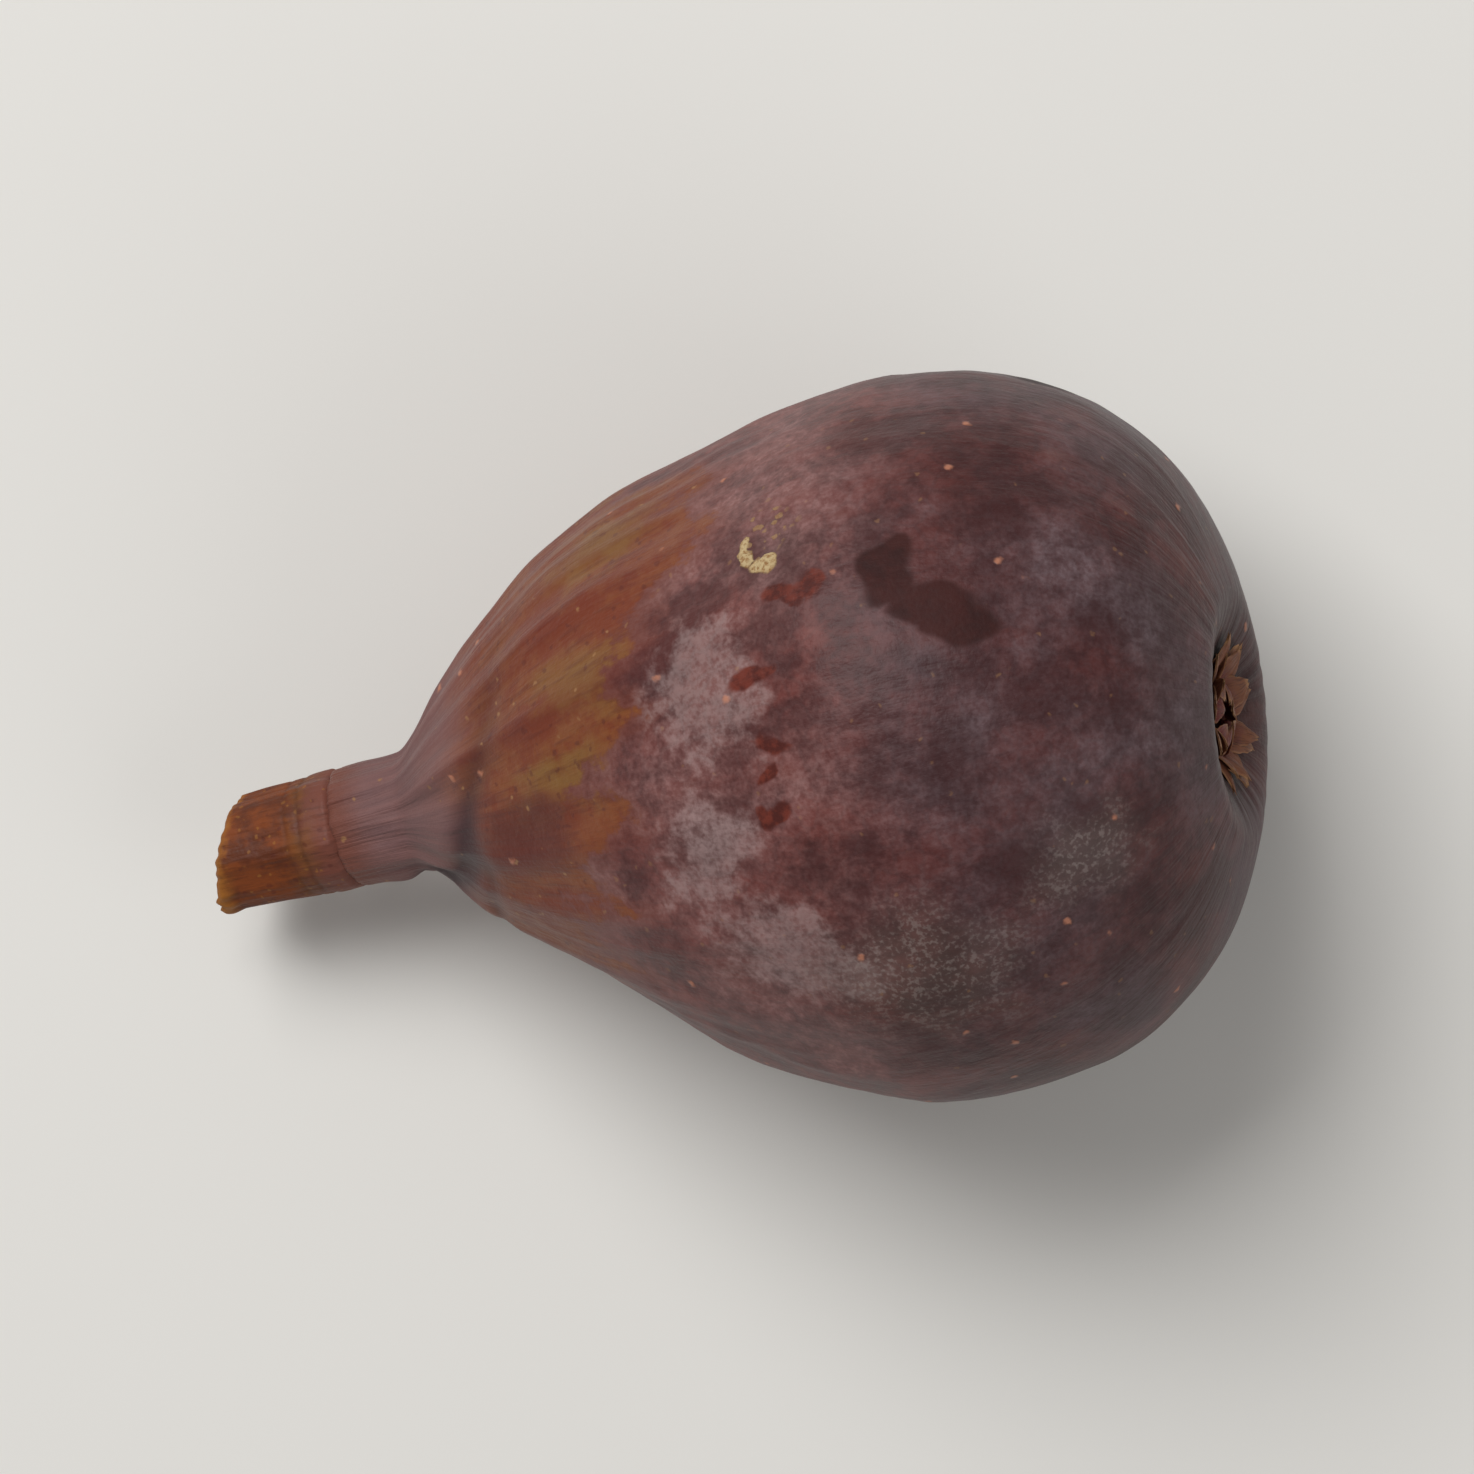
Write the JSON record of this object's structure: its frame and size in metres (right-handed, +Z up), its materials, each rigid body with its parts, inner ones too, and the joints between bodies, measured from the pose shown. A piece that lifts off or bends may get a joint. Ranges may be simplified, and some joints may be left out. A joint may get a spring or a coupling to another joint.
{
  "type": "fresh fig",
  "caption": "Whole fresh dark fig lying on its side: a ribbed, bulbous fruit with a bent neck, a short stalk cut at a slant and a scaly eye at the round end.",
  "frame": {"origin": "the middle of the small flat spot that the fig rests on, on the surface under its belly", "axes": "+Z is up, +X points along the length to the eye end, so the neck and the stalk lie towards -X, and +Y is the side towards which the stalk's cut is short"},
  "size_m": [0.0639, 0.044, 0.0405],
  "materials": {
    "skin": "satin",
    "stalk": "matte",
    "eye_scales": "matte"
  },
  "bodies": {
    "root": {"fruit": "skin", "stalk": "stalk", "eye_scales": "eye_scales"}
  },
  "joints": []
}
